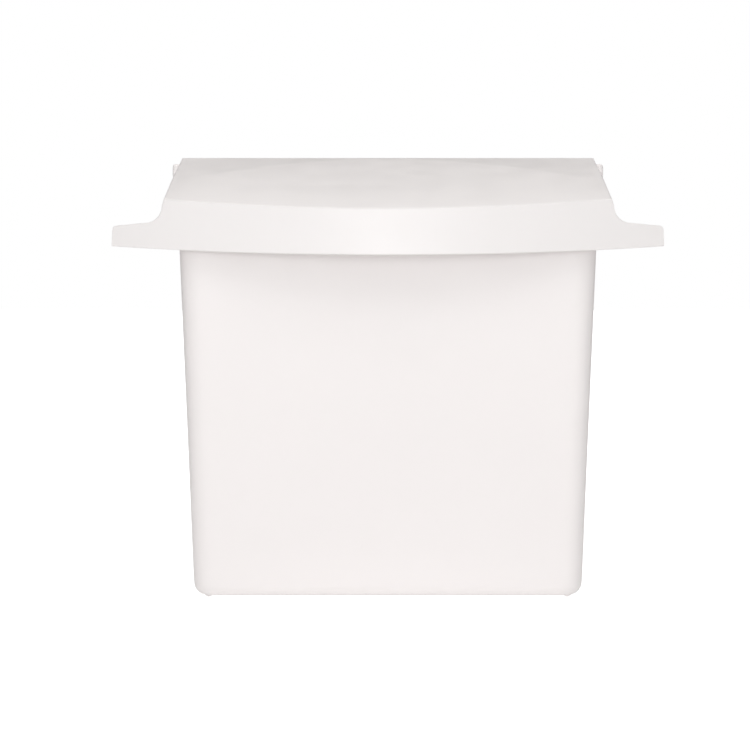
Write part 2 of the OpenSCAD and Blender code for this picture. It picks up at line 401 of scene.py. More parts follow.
def turned(name, profile, axis, origin, steps=64):
    """A solid of revolution: profile holds (radius, distance along axis) pairs."""
    bm = bmesh.new()
    rings = []
    for r, d in profile:
        ring = []
        for k in range(steps):
            a = 2 * math.pi * k / steps
            u = r * math.cos(a)
            v = r * math.sin(a)
            spot = {"x": (d, u, v), "y": (v, d, u), "z": (u, v, d)}[axis]
            ring.append(bm.verts.new([(o + s) * MM for o, s in zip(origin, spot)]))
        rings.append(ring)
    bridge(bm, rings)
    bm.faces.new(rings[0][::-1])
    bm.faces.new(rings[-1])
    bmesh.ops.recalc_face_normals(bm, faces=bm.faces[:])
    return sharpened(finished(bm, name))


def rod(name, x0, x1, r, y, z):
    """A plain cylinder along X."""
    return turned(name, [(r, x0), (r, x1)], "x", (0, y, z))


def arc(cx, cy, r, start, end, steps):
    """Points on a circle's arc, angles in degrees."""
    angles = np.radians(np.linspace(start, end, steps + 1))
    return np.stack([cx + r * np.cos(angles), cy + r * np.sin(angles)], axis=1)


def held(length, near, far, steps):
    """Fractions from 0 to 1 in this many steps, with one close to each held end."""
    inner = np.linspace(near / length, 1 - far / length, steps - 1)
    return np.concatenate([[0.0], inner, [1.0]])


# ---------------------------------------------------------------- the lid's surfaces


def ease(start, end, at):
    """Rises smoothly from 0 at start to 1 at end."""
    t = min(1.0, max(0.0, (at - start) / (end - start)))
    return 3 * t * t - 2 * t**3


def bow_y(x):
    """The skirt's lower front edge in plan."""
    return FRONT_Y + BOW_R - math.sqrt(BOW_R**2 - x * x)


def hem_z(y):
    """The plane that holds the lid's lower edge."""
    return SKIRT_FRONT_Z + (y - FRONT_Y) * SKIRT_RISE


def side_x(y):
    """The lid's half width along the top of its side, which flares a little forward."""
    return LID_SIDE_X + LID_FLARE * ease(FLARE_BACK_Y, FLARE_FRONT_Y, y)


def belt_x(y):
    """The lid's half width at the belt line, which flares out towards the tab."""
    return side_x(y) + BELT_FLARE * ease(FLARE_BACK_Y, TAB_BACK_Y, y)


def lens_run(x):
    """How far in front of the back edge the top's faint arc line lies."""
    return LENS_APEX + LENS_SPREAD * x**2 - LENS_EASE * x**4


def top_point(x, s):
    """The lid's top, s in front of its back edge: crowned, and flatter behind the arc line."""
    run = lens_run(x)
    whole = LID_BACK_Y - bow_y(x)
    lift = LENS_SLOPE * (1 - (x / SIDE_FRONT_X) ** 2)
    rise = lift * min(s, run * (whole - s) / (whole - run))
    y = LID_BACK_Y - s
    z = TOP_Z - TOP_FALL * s - TOP_CROWN * s * s + rise
    return (x * side_x(y) / SIDE_FRONT_X, y, z)


def skirt_point(x, z):
    """A point on the front skirt, which leans back a little towards its top."""
    y = bow_y(x)
    return (x, y + SKIRT_DRAFT * (z - hem_z(y)), z)


def crease_point(x):
    """Where the top meets the front skirt."""
    y = bow_y(x)
    for _ in range(CREASE_PASSES):
        y = skirt_point(x, top_point(x, LID_BACK_Y - y)[2])[1]
    return top_point(x, LID_BACK_Y - y)


def top_runs(x):
    """Distances in front of the back edge for the top's rows at one station."""
    side_start = lens_run(SIDE_FRONT_X) + LENS_SOFT_SIDE
    side_span = LID_BACK_Y - crease_point(SIDE_FRONT_X)[1] - side_start
    tab_at = (LID_BACK_Y - TAB_BACK_Y - side_start) / side_span
    soft = LENS_SOFT + (LENS_SOFT_SIDE - LENS_SOFT) * (x / SIDE_FRONT_X) ** 2
    cheek = LID_BACK_Y - CHEEK_BACK_Y
    lens = lens_run(x)
    span = LID_BACK_Y - crease_point(x)[1] - lens - soft
    spread = np.linspace(tab_at + TAB_NEXT_ROW, 1 - EDGE / span, TOP_FRONT_ROWS)
    fractions = [0.0, tab_at, *spread, 1.0]
    rear = [0.0, cheek, (cheek + lens - soft) / 2, lens - soft, lens]
    return rear + [lens + soft + span * f for f in fractions]


def between(a, b, fractions):
    """Points on the line from a to b."""
    a = np.asarray(a)
    return [tuple(a + (np.asarray(b) - a) * f) for f in fractions]


def down_steps(width):
    """Fractions from an upper edge to the hem, with a row close to each."""
    reach = np.array([EDGE, *DOWN_ROWS, BLOCK_W - HEM_EDGE])
    free = (reach - reach[0]) / (reach[-1] - reach[0])
    near = EDGE / width
    return np.concatenate([[0.0], near + free * (1 - HEM_EDGE / width - near), [1.0]])


def tab_outline():
    """Front outline of a tab's top, from its fillet to the round corner of its tip."""
    fillet = arc(FILLET_X, FILLET_Z, TAB_FILLET, 180, 270, BEND_STEPS)
    corner_x = HALF_W - TIP_LEAN - TIP_R
    slope = (TAB_TIP_Z - TAB_ROOT_Z) / (HALF_W - FILLET_X)
    reach = corner_x - FILLET_X
    xs = FILLET_X + reach * held(reach, TAB_NEAR, TIP_NEAR, TAB_FLAT_STEPS)
    flat = [(x, TAB_ROOT_Z + slope * (x - FILLET_X)) for x in xs[1:]]
    corner = arc(corner_x, flat[-1][1] - TIP_R, TIP_R, 90, 0, TIP_STEPS)
    return [tuple(p) for p in fillet], flat + [tuple(p) for p in corner[1:]]


def tab_aft(x):
    """The tab's back edge in plan: an S from the lid's side to the tip."""
    tip_back = bow_y(HALF_W) + TAB_TIP_DEPTH
    return TAB_BACK_Y + (tip_back - TAB_BACK_Y) * ease(FILLET_X - TAB_FILLET, HALF_W, x)


def tab_column(x, z, place):
    """A column down a tab's face; place turns an X and Z into a point on the face."""
    low_x = x + TIP_LEAN * max(0.0, (x + TIP_LEAN + TIP_R - HALF_W) / TIP_R)
    low = z
    for _ in range(HEM_PASSES):
        low = hem_z(place(low_x, low)[1])
    steps = down_steps(z - low)
    return [place(x + (low_x - x) * f, z + (low - z) * f) for f in steps]


def lid_stations():
    """X places across half the lid: the middle's, then those of the block beside the tab."""
    middle = np.linspace(0, SIDE_FRONT_X - BLOCK_W, MIDDLE_COLS)
    block = SIDE_FRONT_X - BLOCK_W * down_steps(BLOCK_W)[-2::-1]
    return middle, block


def front_columns(middle):
    """The front skirt from the middle to the block beside the tab."""
    drops = held(SKIRT_DROP, EDGE, HEM_EDGE, FRONT_ROWS)
    columns = []
    for x in middle:
        high = crease_point(x)[2]
        low = hem_z(bow_y(x))
        columns.append([skirt_point(x, high + (low - high) * f) for f in drops])
    return columns


def block_rows(middle, block, inner_edge, fillet, falls):
    """The block beside the tab: its outer edge runs down the side and round the fillet."""
    side_top = crease_point(SIDE_FRONT_X)
    outer = between((side_top[0], side_top[2]), fillet[0], falls) + fillet[1:]
    low_count = SIDE_ROWS + BEND_STEPS - FRONT_ROWS + 1
    low_xs = np.linspace(middle[-1], FILLET_X, low_count)[1:]
    inner = [(p[0], p[2]) for p in inner_edge] + [(x, hem_z(bow_y(x))) for x in low_xs]
    rows = []
    for o, i in zip(outer, inner):
        steps = down_steps(math.dist(o, i))
        rows.append([skirt_point(x, z) for x, z in between(o, i, steps)])
    rows[0] = [crease_point(x) for x in block[::-1]] + [crease_point(middle[-1])]
    return rows


def belt_line(side_ys, root_y):
    """The side's belt line: level along the tab, then rising evenly to the rolled edge."""
    back_z = AXIS_Z + (CHEEK_BACK_Y - AXIS_Y) * math.tan(math.radians(ROLL_LOW))
    points = []
    for y in side_ys:
        part = max(0.0, (y - root_y) / (CHEEK_BACK_Y - root_y))
        points.append((belt_x(y), y, FILLET_Z + (back_z - FILLET_Z) * part))
    return points


def tab_patches(outline, root, back_root, depth):
    """A tab's front, top, back and tip, grown from its root along the side's belt line
    and from the side's column behind it."""
    fillet, rest = outline
    front_face = [tab_column(x, z, skirt_point) for x, z in [fillet[-1], *rest]]
    top = [root]
    back_face = [back_root]
    for x, z in fillet[1:] + rest:
        aft = tab_aft(x)
        top.append(between(skirt_point(x, z), (x, aft, z), depth))
        back_face.append(tab_column(x, z, lambda px, pz: (px, aft, pz)))
    ends = zip(front_face[-1], back_face[-1])
    tip = [between(fore, back, depth) for fore, back in ends]
    return front_face, top, back_face, tip


def roll_points():
    """The back edge from the side, rolled about the hinge."""
    start = math.degrees(math.acos((LID_BACK_Y - AXIS_Y) / ROLL_R))
    turn = ROLL_LOW - start
    length = ROLL_R * math.radians(-turn)
    points = []
    for f in held(length, ROLL_TOP_EDGE, ROLL_END_EDGE, SIDE_ROWS):
        points.append(tuple(arc(AXIS_Y, AXIS_Z, ROLL_R, start, start + turn * f, 1)[1]))
    return points


def lid_skin():
    """One half of the lid's outside, as patches."""
    skin = Skin()
    middle, block = lid_stations()
    stations = np.concatenate([middle, block])
    top = [[top_point(x, s) for s in top_runs(x)] for x in stations]
    skin.patch(top)
    front = front_columns(middle)
    skin.patch(front)
    outline = tab_outline()
    side_height = crease_point(SIDE_FRONT_X)[2] - FILLET_Z
    falls = held(side_height, SIDE_TOP_EDGE, BELT_EDGE, SIDE_ROWS)
    rows = block_rows(middle, block, front[-1], outline[0], falls)
    skin.patch(rows)

    # The side wall above the belt line, then the part below it behind the tab.
    side_ys = [p[1] for p in top[-1]]
    tab_row = min(range(len(side_ys)), key=lambda k: abs(side_ys[k] - TAB_BACK_Y))
    root_y = side_ys[tab_row]
    belt = belt_line(side_ys[1:], root_y)
    side = [between(high, low, falls) for high, low in zip(top[-1][1:], belt)]
    side[-1] = [row[0] for row in rows[: SIDE_ROWS + 1]]
    skin.patch(side)
    lower = []
    for x, y, z in belt[:tab_row]:
        lower.append(between((x, y, z), (x, y, hem_z(y)), down_steps(z - hem_z(y))))
    skin.patch(lower)

    # The tab, and the rolled back edge with its end that joins the side wall.
    depth = (np.array(side_ys[tab_row:]) - side_ys[-1]) / (root_y - side_ys[-1])
    root = belt[tab_row - 1 : -1] + [side[-1][-1]]
    for patch in tab_patches(outline, root, lower[-1], depth):
        skin.patch(patch)
    roll = roll_points()
    squeeze = LID_SIDE_X / SIDE_FRONT_X
    skin.patch([[(x * squeeze, y, z) for y, z in roll] for x in stations])
    skin.patch([[(LID_SIDE_X, y, z) for y, z in roll], side[0]])
    return skin


def make_lid():
    """The lid: a hollow moulding with a boss inside each side for its pin."""
    lid = lid_skin().build("lid_shell", mirror=True)
    shell = lid.modifiers.new("wall", "SOLIDIFY")
    shell.thickness = LID_WALL * MM
    shell.offset = -1
    shell.use_even_offset = True
    shell.use_quality_normals = True
    applied(lid)
    subdivided(lid)
    for side in (1, -1):
        boss = rod("boss", side * BOSS_IN_X, side * BOSS_OUT_X, BOSS_R, AXIS_Y, AXIS_Z)
        cut(lid, boss, "UNION")
    for side in (1, -1):
        ends = (side * (BOSS_IN_X - PAST), side * (LID_SIDE_X + PAST))
        cut(lid, rod("bore", *ends, PIN_R + PIN_CLEARANCE, AXIS_Y, AXIS_Z))
    return sharpened(lid)


# ---------------------------------------------------------------- tubs

# Places of a tub's columns: along a flat stretch, along a side, and round a corner.
FLAT_STEPS = (0.0, 0.15, 0.3, 0.45, 0.6, 0.75, 0.88, 0.97)
SIDE_STEPS = (0.04, 0.15, 0.35, 0.6, 0.85)
CORNER_STEPS = 6
WALL_STEPS = (0.02, 0.1, 0.25, 0.45, 0.65, 0.85, 0.97)
FILLET_STEPS = 4

# Width of the flat ring between a tub's bottom fillet and its floor.
FLOOR_RING = 3.0


def half_plan(hw, front, back, r, side_ys):
    """Right half of a rounded rectangle, from the middle of its front to that of its back."""
    xs = (hw - r) * np.array(FLAT_STEPS)
    start = front + r
    run = [start + (side_ys[0] - start) * f for f in SIDE_STEPS]
    points = [(x, front) for x in xs]
    points += [tuple(p) for p in arc(hw - r, front + r, r, -90, 0, CORNER_STEPS)]
    points += [(hw, y) for y in [*run, *side_ys]]
    points += [tuple(p) for p in arc(hw - r, back - r, r, 0, 90, CORNER_STEPS)]
    points += [(x, back) for x in xs[::-1]]
    return points


def tub_row(plan, inset, back_inset, height):
    """A tub's plan, inset from its outside, at a height that may vary with Y."""
    row = []
    for c in range(len(plan(0.0, inset, back_inset))):
        z = height(0.0)
        for _ in range(RIM_PASSES):
            x, y = plan(z, inset, back_inset)[c]
            z = height(y)
        row.append((x, y, z))
    return row


def tub_skin(plan, walls, low_z, edge_r, floor_t, rim, lip):
    """One half of a tub. walls holds the side and back thickness, rim its height at each Y,
    and lip the (inset, back inset, rise above the rim) of each row over the rim."""
    wall, back_wall = walls
    rows = []

    def level_row(inset, back_inset, z):
        rows.append(tub_row(plan, inset, back_inset, lambda y: z))

    def part_row(inset, back_inset, base, f):
        rows.append(tub_row(plan, inset, back_inset, lambda y: base + (rim(y) - base) * f))

    angles = np.radians(np.linspace(0, 90, FILLET_STEPS + 1))
    level_row(edge_r + FLOOR_RING, edge_r + FLOOR_RING, low_z)
    for a in angles:
        inset = edge_r * (1 - math.sin(a))
        level_row(inset, inset, low_z + edge_r * (1 - math.cos(a)))
    for f in WALL_STEPS:
        part_row(0, 0, low_z + edge_r, f)
    for inset, back_inset, rise in lip:
        rows.append(tub_row(plan, inset, back_inset, lambda y: rim(y) + rise))
    in_r = edge_r - wall
    floor_z = low_z + floor_t
    for f in WALL_STEPS[::-1]:
        part_row(wall, back_wall, floor_z + in_r, f)
    for a in angles[::-1]:
        inset = in_r * (1 - math.sin(a))
        level_row(wall + inset, back_wall + inset, floor_z + in_r * (1 - math.cos(a)))
    level_row(wall + in_r + FLOOR_RING, back_wall + in_r + FLOOR_RING, floor_z)
    skin = Skin()
    skin.patch(rows)
    skin.cap(rows[0])
    skin.cap(rows[-1])
    return skin


def joined(objects):
    """Joins objects into the first one, without merging them."""
    bm = bmesh.new()
    for obj in objects:
        bm.from_mesh(obj.data)
    name = objects[0].name
    for obj in objects:
        bpy.data.objects.remove(obj)
    return finished(bm, name)


# ---------------------------------------------------------------- the bin body

# Places along the bin's side: the columns near the back follow the scoop in its rim.
BIN_SIDE_YS = tuple(
    [AXIS_Y - SWING_R - 0.8]
    + [AXIS_Y - SWING_R * math.cos(math.radians(a)) for a in (0, 15, 30, 45, 60, 75)]
)


def bin_plan(z, inset, back_inset):
    """The drafted tub's plan at a height, inset from its outside."""
    hw = BIN_HALF_W + z * SIDE_DRAFT - inset
    front = WALL_Y - BIN_DEPTH - z * FRONT_DRAFT + inset
    return half_plan(hw, front, WALL_Y - back_inset, CORNER_R - inset, BIN_SIDE_YS)


def rim_z(y):
    """Height of the bin's rim."""
    plane = RIM_BACK_Z - MEAN_FALL * (LID_BACK_Y - y)
    reach = SWING_R**2 - (y - AXIS_Y) ** 2
    if reach < 0:
        return plane
    return min(plane, AXIS_Z - math.sqrt(reach))


def ear_outline():
    """A hinge ear from the side: a round head on an arm that rises from the shoulder."""
    corner_y = WALL_Y - EAR_CORNER_R
    top = arc(corner_y, AXIS_Z + EAR_R - EAR_CORNER_R, EAR_CORNER_R, 0, 90, 6)
    head = arc(AXIS_Y, AXIS_Z, EAR_R, 90, 200, 16)
    return [*top, *head, (EAR_FOOT_Y, SHOULDER_LOW_Z), (WALL_Y, SHOULDER_LOW_Z)]


def shoulder_outline():
    """The strip beside the back panel that carries an ear, from the side."""
    back = WALL_Y - SKIM
    fore = WALL_Y - BACK_WALL + SKIM
    low = SHOULDER_LOW_Z + 2 * SKIM
    return [(fore, low), (back, low), (back, SHOULDER_TOP_Z), (fore, SHOULDER_TOP_Z)]


def foot_pips():
    """The four domed pips under the tub's corners, as one object."""
    dome = arc(FOOT_R - 2 * BIN_FLOOR_Z, BIN_FLOOR_Z, BIN_FLOOR_Z, -90, -35, 5)
    profile = [*map(tuple, dome), (FOOT_R, BIN_FLOOR_Z), (FOOT_R, BIN_FLOOR_Z + FOOT_ROOT)]
    feet = []
    for x in (BIN_HALF_W - FOOT_INSET, FOOT_INSET - BIN_HALF_W):
        for y in (WALL_Y - BIN_DEPTH + FOOT_INSET, WALL_Y - FOOT_INSET):
            feet.append(turned("foot", profile, "z", (x, y, 0), 48))
    return joined(feet)


def screw_tools():
    """The four rods along Y that cut the screw holes, as one object."""
    profile = [(SCREW_R, WALL_Y - BACK_WALL - PAST), (SCREW_R, WALL_Y + PAST)]
    rods = []
    for x in (-SCREW_X, SCREW_X):
        for z in SCREW_ZS:
            rods.append(turned("screw_hole", profile, "y", (x, 0, z), 48))
    return joined(rods)


def pocket_outline():
    """A strip's pocket from the side, a hair deeper than the strip."""
    low, high = TAPE_ZS
    inner = WALL_Y - TAPE_T - SKIM
    outer = WALL_Y + PAST
    return [(inner, low), (outer, low), (outer, high), (inner, high)]


def make_bin():
    """The tub with its ears, feet, screw holes and pockets for the strips."""
    lip = [
        (0, 0, -RIM_HOLD),
        (0, 0, 0),
        (RIM_EDGE, RIM_BACK_EDGE, 0),
        (BIN_WALL - RIM_EDGE, BACK_WALL - RIM_BACK_EDGE, 0),
        (BIN_WALL, BACK_WALL, 0),
        (BIN_WALL, BACK_WALL, -RIM_HOLD),
    ]
    walls = (BIN_WALL, BACK_WALL)
    skin = tub_skin(bin_plan, walls, BIN_FLOOR_Z, BOTTOM_R, FLOOR_T, rim_z, lip)
    body = skin.build("bin_shell", mirror=True)
    subdivided(body)
    for side in (1, -1):
        ends = (side * SHOULDER_IN_X, side * SHOULDER_OUT_X)
        cut(body, prism("shoulder", shoulder_outline(), *ends, bevel=SHOULDER_EDGE), "UNION")
        ends = (side * EAR_IN_X, side * EAR_OUT_X)
        cut(body, prism("ear", ear_outline(), *ends, bevel=EAR_EDGE), "UNION")
    cut(body, foot_pips(), "UNION")
    bore_x = EAR_OUT_X + PAST
    cut(body, rod("bore", -bore_x, bore_x, PIN_R + PIN_PRESS_GAP, AXIS_Y, AXIS_Z))
    cut(body, screw_tools())
    for x in (-TAPE_X, TAPE_X):
        cut(body, prism("pocket", pocket_outline(), x - TAPE_W / 2, x + TAPE_W / 2))
    return sharpened(body)


# ---------------------------------------------------------------- the liner and its bail


def liner_plan(z, inset, back_inset):
    """The liner's plan at a height: the bin's own draft, less the wall, gap and rim."""
    hw = BIN_HALF_W + z * SIDE_DRAFT - BIN_WALL - LINER_GAP - RIM_W - inset
    front = WALL_Y - BIN_DEPTH - z * FRONT_DRAFT + BIN_WALL + LINER_GAP + RIM_W + inset
    back = LINER_BACK_Y - RIM_W - back_inset
    return half_plan(hw, front, back, LINER_CORNER_R - inset, LINER_SIDE_YS)


def make_liner():
    """The lift-out liner: a thin tub with a turned-down rim and a hole for each bail end."""
    w = LINER_WALL
    inner = LIP_T - RIM_W
    section = [
        (0, -LIP_TOP_T - LIP_UNDER_EDGE),
        (0, -LIP_TOP_T),
        (inner, -LIP_TOP_T),
        (inner, -LIP_TOP_T - LIP_UNDER_EDGE),
        (inner, LIP_FOOT_EDGE - RIM_H),
        (inner, -RIM_H),
        (inner - LIP_FOOT_FLAT, -RIM_H),
        (LIP_FOOT_FLAT - RIM_W, -RIM_H),
        (-RIM_W, -RIM_H),
        (-RIM_W, LIP_FOOT_EDGE - RIM_H),
        (-RIM_W, -LIP_OUT_EDGE),
        (-RIM_W, 0),
        (LIP_OUT_EDGE - RIM_W, 0),
        (w - LIP_IN_EDGE, 0),
        (w, 0),
        (w, -LIP_IN_EDGE),
    ]
    lip = [(inset, inset, rise) for inset, rise in section]
    skin = tub_skin(
        liner_plan, (w, w), LINER_LOW, LINER_BOTTOM_R, w, lambda y: LINER_TOP, lip
    )
    liner = skin.build("liner_shell", mirror=True)
    subdivided(liner)
    for side in (1, -1):
        ends = (side * (BAIL_X + WIRE_R), side * (END_OUT_X + PAST))
        cut(liner, rod("pivot_hole", *ends, WIRE_R + WIRE_CLEARANCE, BAIL_Y, BAIL_Z))
    return sharpened(liner)


def bail_path():
    """The standing bail's middle line in X and height, and the wire's size along it."""
    top_bend = arc(BAIL_X - BAIL_BEND_R, BAIL_LEN - BAIL_BEND_R, BAIL_BEND_R, 90, 0, 12)
    end_bend = arc(BAIL_X + END_BEND_R, END_BEND_R, END_BEND_R, 180, 270, 8)
    half = [*map(tuple, top_bend), *map(tuple, end_bend)]
    across = [(x, BAIL_LEN) for x in np.linspace(-1, 1, 9)[1:-1] * half[0][0]]
    left = [(-x, u) for x, u in half[::-1]]
    path = left + across + half
    sizes = [1.0] * len(path)
    for a in np.linspace(0, math.pi / 2, 5):
        reach = END_OUT_X - WIRE_END_R * (1 - math.sin(a))
        size = 1 - WIRE_END_R / WIRE_R * (1 - math.cos(a))
        path = [(-reach, 0.0)] + path + [(reach, 0.0)]
        sizes = [size] + sizes + [size]
    return np.array(path), sizes


def make_bail():
    """The wire bail, swept along its bends and laid forward inside the liner's rim."""
    path, sizes = bail_path()
    lean = math.pi / 2 - BAIL_REST
    ahead = np.gradient(path, axis=0)
    bm = bmesh.new()
    rings = []
    for (x, u), (dx, du), size in zip(path, ahead, sizes):
        length = math.hypot(dx, du)
        nx, nu = -du / length, dx / length
        ring = []
        for k in range(WIRE_STEPS):
            a = 2 * math.pi * k / WIRE_STEPS
            px = x + WIRE_R * size * math.cos(a) * nx
            pu = u + WIRE_R * size * math.cos(a) * nu
            out = WIRE_R * size * math.sin(a)
            y = BAIL_Y - pu * math.sin(lean) - out * math.cos(lean)
            z = BAIL_Z + pu * math.cos(lean) - out * math.sin(lean)
            ring.append(bm.verts.new((px * MM, y * MM, z * MM)))
        rings.append(ring)
    bridge(bm, rings)
    bm.faces.new(rings[0])
    bm.faces.new(rings[-1][::-1])
    bmesh.ops.recalc_face_normals(bm, faces=bm.faces[:])
    return sharpened(finished(bm, "bail_wire"))


# ---------------------------------------------------------------- pins and strips


def make_pin(name, side):
    """A hinge pin: a chamfered shank, and a low domed head outside the ear."""
    head_h = HEAD_SHARE * (HALF_PINS - EAR_OUT_X)
    dome_r = (PIN_HEAD_R**2 + head_h**2) / (2 * head_h)
    spread = math.degrees(math.asin(PIN_HEAD_R / dome_r))
    dome = arc(EAR_OUT_X + head_h - dome_r, 0, dome_r, spread, 2, 10)
    profile = [
        (PIN_R - PIN_CHAMFER, PIN_END_X),
        (PIN_R, PIN_END_X + PIN_CHAMFER),
        (PIN_R, EAR_OUT_X),
        *[(r, x) for x, r in dome],
    ]
    return turned(name, [(r, side * x) for r, x in profile], "x", (0, AXIS_Y, AXIS_Z))


def make_tape(name, x):
    """An adhesive strip: a foam core under a slightly wider release film."""
    low, high = TAPE_ZS
    mid_z = (low + high) / 2
    film_y = WALL_Y - FILM_T
    bm = bmesh.new()
    rings = []
    rows = ((FILM_LAP, WALL_Y - TAPE_T), (FILM_LAP, film_y), (0, film_y), (0, WALL_Y))
    for inset, y in rows:
        hx = TAPE_W / 2 - inset
        hz = (high - low) / 2 - inset
        r = TAPE_CORNER_R - inset
        ring = []
        for cx, cz, start in ((1, 1, 0), (-1, 1, 90), (-1, -1, 180), (1, -1, 270)):
            for px, pz in arc(cx * (hx - r), cz * (hz - r), r, start, start + 90, 6):
                ring.append(bm.verts.new(((x + px) * MM, y * MM, (mid_z + pz) * MM)))
        rings.append(ring)
    film_bands = bridge(bm, rings)[1:]
    bm.faces.new(rings[0])
    bm.faces.new(rings[-1][::-1]).material_index = 1
    for band in film_bands:
        for face in band:
            face.material_index = 1
    bmesh.ops.recalc_face_normals(bm, faces=bm.faces[:])
    return sharpened(finished(bm, name))


# ---------------------------------------------------------------- materials

# Noise lies mostly between these two values.
NOISE_LOW = 0.3
NOISE_HIGH = 0.7


class Nodes:
    """Short ways to add and join shader nodes."""

    def __init__(self, name):
        self.material = bpy.data.materials.new(name)
        self.material.use_nodes = True
        self.tree = self.material.node_tree
        self.shader = self.tree.nodes["Principled BSDF"]
        coords = self.tree.nodes.new("ShaderNodeTexCoord")
        self.place = coords.outputs["Object"]

    def set(self, **values):
        """Sets the shader's own sockets; an underscore in a key stands for a space."""
        for key, value in values.items():
            self.shader.inputs[key.replace("_", " ")].default_value = value

    def noise(self, scale, detail, stretch=(1, 1, 1)):
        """Noise in metres, optionally stretched along the axes."""
        place = self.place
        if stretch != (1, 1, 1):
            mapping = self.tree.nodes.new("ShaderNodeMapping")
            mapping.inputs["Scale"].default_value = stretch
            self.tree.links.new(place, mapping.inputs["Vector"])
            place = mapping.outputs["Vector"]
        node = self.tree.nodes.new("ShaderNodeTexNoise")
        node.inputs["Scale"].default_value = scale
        node.inputs["Detail"].default_value = detail
        self.tree.links.new(place, node.inputs["Vector"])
        return node.outputs["Fac"]

    def spread(self, fac, low, high, socket):
        """Drives a socket with fac, from low to high."""
        node = self.tree.nodes.new("ShaderNodeMapRange")
        node.inputs["From Min"].default_value = NOISE_LOW
        node.inputs["From Max"].default_value = NOISE_HIGH
        node.inputs["To Min"].default_value = low
        node.inputs["To Max"].default_value = high
        self.tree.links.new(fac, node.inputs["Value"])
        self.tree.links.new(node.outputs["Result"], self.shader.inputs[socket])

    def tint(self, fac, dark, light):
        """Drives the base colour with fac, from dark to light."""
        node = self.tree.nodes.new("ShaderNodeMix")
        node.data_type = "RGBA"
        node.inputs["A"].default_value = (*dark, 1)
        node.inputs["B"].default_value = (*light, 1)
        self.tree.links.new(fac, node.inputs["Factor"])
        self.tree.links.new(node.outputs["Result"], self.shader.inputs["Base Color"])

    def bump(self, layers):
        """Adds bump layers, each (height, strength, depth in millimetres)."""
        last = None
        for height, strength, depth in layers:
            node = self.tree.nodes.new("ShaderNodeBump")
            node.inputs["Strength"].default_value = strength
            node.inputs["Distance"].default_value = depth * MM
            self.tree.links.new(height, node.inputs["Height"])
            if last is not None:
                self.tree.links.new(last, node.inputs["Normal"])
            last = node.outputs["Normal"]
        self.tree.links.new(last, self.shader.inputs["Normal"])


def moulded_plastic(name, color, rough, grain=0.012):
    """Warm white satin plastic with a fine spark-eroded grain and faint flow marks."""
    nodes = Nodes(name)
    tone = nodes.noise(14.0, 3.0)
    nodes.tint(tone, [c * 0.985 for c in color], [min(1.0, c * 1.01) for c in color])
    nodes.spread(nodes.noise(60.0, 4.0), rough - 0.03, rough + 0.04, "Roughness")
    fine = nodes.noise(1500.0, 3.0)
    swell = nodes.noise(22.0, 1.0)
    nodes.bump([(swell, 0.35, 0.08), (fine, 0.5, grain)])
    nodes.set(IOR=1.49, Specular_IOR_Level=0.45)
    return nodes.material


def liner_plastic():
    """Light grey matte plastic with drag marks up its walls."""
    nodes = Nodes("liner_plastic")
    marks = nodes.noise(220.0, 5.0, (1, 1, 0.06))
    nodes.tint(nodes.noise(30.0, 4.0), (0.46, 0.49, 0.51), (0.53, 0.56, 0.58))
    nodes.spread(marks, 0.48, 0.62, "Roughness")
    nodes.bump([(marks, 0.25, 0.02), (nodes.noise(900.0, 3.0), 0.5, 0.02)])
    nodes.set(IOR=1.5, Specular_IOR_Level=0.4)
    return nodes.material


def bail_steel():
    """Zinc plated drawn wire with fine lines along it."""
    nodes = Nodes("bail_steel")
    lines = nodes.noise(1800.0, 4.0, (0.02, 1, 1))
    nodes.tint(nodes.noise(160.0, 5.0), (0.5, 0.51, 0.52), (0.66, 0.66, 0.65))
    nodes.spread(lines, 0.26, 0.42, "Roughness")
    nodes.bump([(lines, 0.3, 0.01)])
    nodes.set(Metallic=1.0)
    return nodes.material


def tape_foam():
    """The open cut edge of white polyethylene foam."""
    nodes = Nodes("tape_foam")
    cells = nodes.noise(2600.0, 2.0)
    nodes.tint(cells, (0.66, 0.66, 0.62), (0.84, 0.84, 0.81))
    nodes.bump([(cells, 0.9, 0.08)])
    nodes.set(Roughness=0.85)
    return nodes.material


def release_film():
    """The strip's paper backed release film, smooth and slightly wrinkled."""
    nodes = Nodes("release_film")
    wrinkle = nodes.noise(95.0, 3.0, (1, 1, 0.5))
    nodes.tint(nodes.noise(400.0, 4.0), (0.74, 0.73, 0.68), (0.8, 0.79, 0.75))
    nodes.spread(nodes.noise(260.0, 3.0), 0.3, 0.42, "Roughness")
    nodes.bump([(wrinkle, 0.3, 0.15)])
    nodes.set(Specular_IOR_Level=0.5)
    return nodes.material


# ---------------------------------------------------------------- the pieces


def fit(piece, body, node, slot, *materials):
    """Gives a piece its materials and its body, and hides its node's part; slot is not used.
    """
    piece.data.materials.clear()
    for material in materials:
        piece.data.materials.append(material)
    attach(piece, body)
    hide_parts(node)


bin_white = moulded_plastic("bin_plastic", (0.94, 0.9, 0.89), 0.36)
lid_white = moulded_plastic("lid_plastic", (0.92, 0.89, 0.88), 0.32)
pin_white = moulded_plastic("pin_plastic", (0.86, 0.83, 0.81), 0.32, 0.006)
foam = tape_foam()
film = release_film()

fit(make_bin(), "bin", "bin_body", "bin_plastic", bin_white)
fit(make_lid(), "lid", "lid", "lid_plastic", lid_white)
fit(make_liner(), "liner", "rigid_liner", "liner_plastic", liner_plastic())
fit(make_bail(), "bail", "liner_bail", "bail_wire", bail_steel())
for word, side in (("left", -1), ("right", 1)):
    pin = make_pin(f"pin_{word}", side)
    fit(pin, "bin", f"hinge_pin_{word}", "pin_plastic", pin_white)
    tape = make_tape(f"tape_{word}", side * TAPE_X)
    fit(tape, "bin", f"mounting_tape_{word}", "tape_foam", foam, film)

# ---------------------------------------------------------------- the studio

